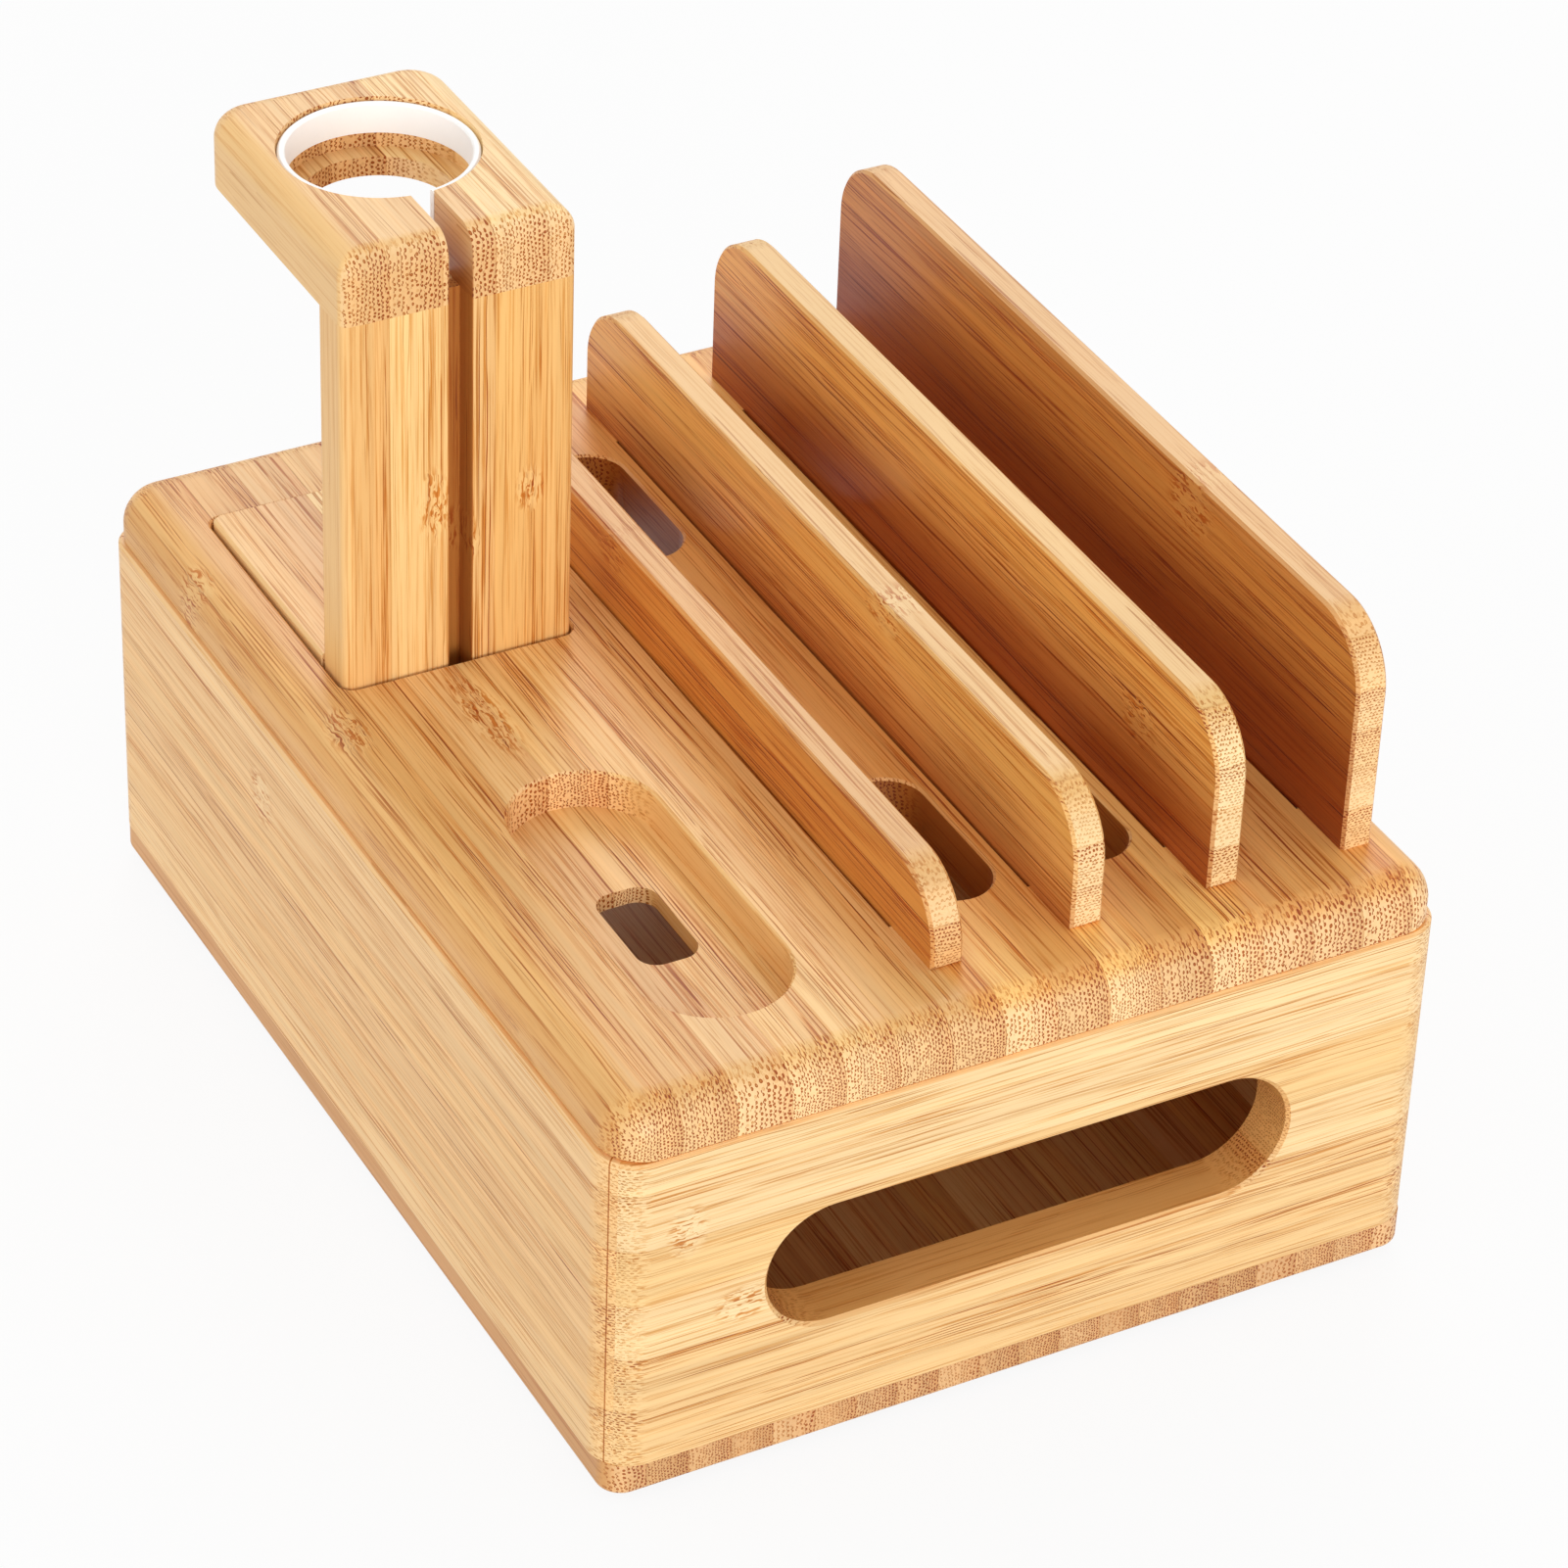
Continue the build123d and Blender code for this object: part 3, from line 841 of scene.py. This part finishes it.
def screw_tree():
    """Puts a screw at each point, turned by chance as a driver leaves it."""
    tree = bpy.data.node_groups.new("screw_places", "GeometryNodeTree")
    for label, kind in (
        ("Places", "NodeSocketGeometry"),
        ("Screw", "NodeSocketObject"),
        ("Largest turn", "NodeSocketFloat"),
        ("Turn seed", "NodeSocketInt"),
        ("Finish", "NodeSocketMaterial"),
    ):
        tree.interface.new_socket(label, in_out="INPUT", socket_type=kind)
    tree.interface.new_socket("Screws", in_out="OUTPUT", socket_type="NodeSocketGeometry")

    def add(kind, **inputs):
        node = tree.nodes.new(kind)
        for label, value in inputs.items():
            tree.links.new(value, node.inputs[label.replace("_", " ")])
        return node

    given = add("NodeGroupInput").outputs
    screw = add("GeometryNodeObjectInfo", Object=given["Screw"]).outputs["Geometry"]
    chance = tree.nodes.new("FunctionNodeRandomValue")
    tree.links.new(given["Largest turn"], chance.inputs[3])
    tree.links.new(given["Turn seed"], chance.inputs["Seed"])
    angles = add("ShaderNodeCombineXYZ", Z=chance.outputs[1]).outputs[0]
    turn = add("FunctionNodeEulerToRotation", Euler=angles).outputs[0]
    placed = add(
        "GeometryNodeInstanceOnPoints", Points=given["Places"], Instance=screw, Rotation=turn
    ).outputs[0]
    real = add("GeometryNodeRealizeInstances", Geometry=placed).outputs[0]
    finished = add("GeometryNodeSetMaterial", Geometry=real, Material=given["Finish"]).outputs[0]
    add("NodeGroupOutput", Screws=finished)
    return tree


def wood_screws(finish):
    """The six countersunk screws, two in each long wall and one in each end wall."""
    low, high = millimetres("base_screws")
    long_wall_y = high.y - SCREW_HEAD_RADIUS
    end_wall_x = high.x - SCREW_HEAD_RADIUS
    share_x = SCREW_SHARE * 2 * millimetres("right_wall")[1].x
    places = [(x, y, low.z) for x in (-share_x, share_x) for y in (-long_wall_y, long_wall_y)]
    places += [(-end_wall_x, 0.0, low.z), (end_wall_x, 0.0, low.z)]

    blank, cutter = screw_blank(high.z - low.z), cross_cutter()
    cut = blank.modifiers.new("cross", "BOOLEAN")
    cut.object = cutter
    cut.solver = "EXACT"
    screw = bpy.data.objects.new("screw", as_plain_mesh(blank, "screw"))

    mesh = bpy.data.meshes.new("screw_points")
    mesh.from_pydata([Vector(place) * MILLIMETRE for place in places], [], [])
    points = bpy.data.objects.new("screw_points", mesh)
    bpy.context.scene.collection.objects.link(points)
    spread = points.modifiers.new("screw_places", "NODES")
    spread.node_group = screw_tree()
    values = {
        "Screw": screw, "Largest turn": LARGEST_TURN, "Turn seed": TURN_SEED, "Finish": finish,
    }
    for item in spread.node_group.interface.items_tree:
        if item.in_out == "INPUT" and item.name in values:
            spread[item.identifier] = values[item.name]
    screws = bpy.data.objects.new("wood_screws", as_plain_mesh(points, "wood_screws"))
    bpy.context.scene.collection.objects.link(screws)
    for spare in (blank, cutter, screw, points):
        bpy.data.objects.remove(spare)
    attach(screws, body_of(nodes["base_screws"])[0])
    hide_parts("base_screws")


wood_screws(plated_steel("screw_steel"))


def seen_directly(paint):
    """1 for rays from the camera and for reflected and refracted ones."""
    path = paint.add("LightPath").outputs
    direct = Field(paint, path["Is Camera Ray"])
    return direct.larger(Field(paint, path["Is Glossy Ray"])).larger(
        Field(paint, path["Is Transmission Ray"])
    )


def floor():
    """A white floor that fades into the white room and keeps a faint shadow."""
    mesh = bpy.data.meshes.new("floor")
    square = ((-1, -1), (1, -1), (1, 1), (-1, 1))
    corners = [(x * FLOOR_REACH, y * FLOOR_REACH, 0) for x, y in square]
    mesh.from_pydata(corners, [], [(0, 1, 2, 3)])
    plane = bpy.data.objects.new("floor", mesh)
    bpy.context.scene.collection.objects.link(plane)
    paint = Paint("floor_white")
    matt = paint.add("BsdfDiffuse", inputs={"Color": FLOOR_GREY})
    glow = paint.add("Emission", inputs={"Color": (1, 1, 1, 1), "Strength": 1.0})
    share = seen_directly(paint) * FLOOR_WHITE_SHARE
    blend = paint.add("MixShader", inputs={0: share, 1: matt.outputs[0], 2: glow.outputs[0]})
    paint.add("OutputMaterial", inputs={"Surface": blend.outputs[0]})
    mesh.materials.append(paint.material)


class RoomPaint(Paint):
    """The room's own light, drawn with the same nodes as a material."""

    def __init__(self, world):
        world.use_nodes = True
        self.tree = world.node_tree
        self.tree.nodes.clear()


def room():
    """A white room, whose light on the object is a little weaker than it looks."""
    world = bpy.data.worlds.new("white_room")
    bpy.context.scene.world = world
    paint = RoomPaint(world)
    strength = ROOM_STRENGTH + seen_directly(paint) * (1 - ROOM_STRENGTH)
    glow = paint.add("Background", inputs={"Color": (1, 1, 1, 1), "Strength": strength})
    paint.add("OutputWorld", inputs={"Surface": glow.outputs[0]})


def lamp(name, comes_from, strength, spread):
    """A soft distant lamp that shines from a direction."""
    light = bpy.data.lights.new(name, "SUN")
    light.energy = strength
    light.angle = spread
    holder = bpy.data.objects.new(name, light)
    holder.rotation_euler = Vector(comes_from).to_track_quat("Z", "Y").to_euler()
    bpy.context.scene.collection.objects.link(holder)


def camera():
    """The photograph's own view."""
    lens = bpy.data.cameras.new("camera")
    lens.lens = CAMERA_LENS
    lens.sensor_width = SENSOR_WIDTH
    lens.clip_end = FLOOR_REACH * 2
    holder = bpy.data.objects.new("camera", lens)
    place = Vector(CAMERA_PLACE)
    forward = (Vector(CAMERA_AIM) - place).normalized()
    level = forward.cross(Vector((0, 0, 1))).normalized()
    up = level.cross(forward)
    right = level * math.cos(CAMERA_ROLL) + up * math.sin(CAMERA_ROLL)
    up = right.cross(forward)
    turn = Matrix((right, up, -forward)).transposed().to_4x4()
    holder.matrix_world = Matrix.Translation(place) @ turn
    bpy.context.scene.collection.objects.link(holder)
    bpy.context.scene.camera = holder


floor()
room()
lamp("key_lamp", KEY_FROM, KEY_STRENGTH, KEY_SPREAD)
lamp("front_lamp", FRONT_FROM, FRONT_STRENGTH, FRONT_SPREAD)
lamp("sheen_lamp", SHEEN_FROM, SHEEN_STRENGTH, SHEEN_SPREAD)
camera()
bpy.context.scene.view_settings.view_transform = "Standard"
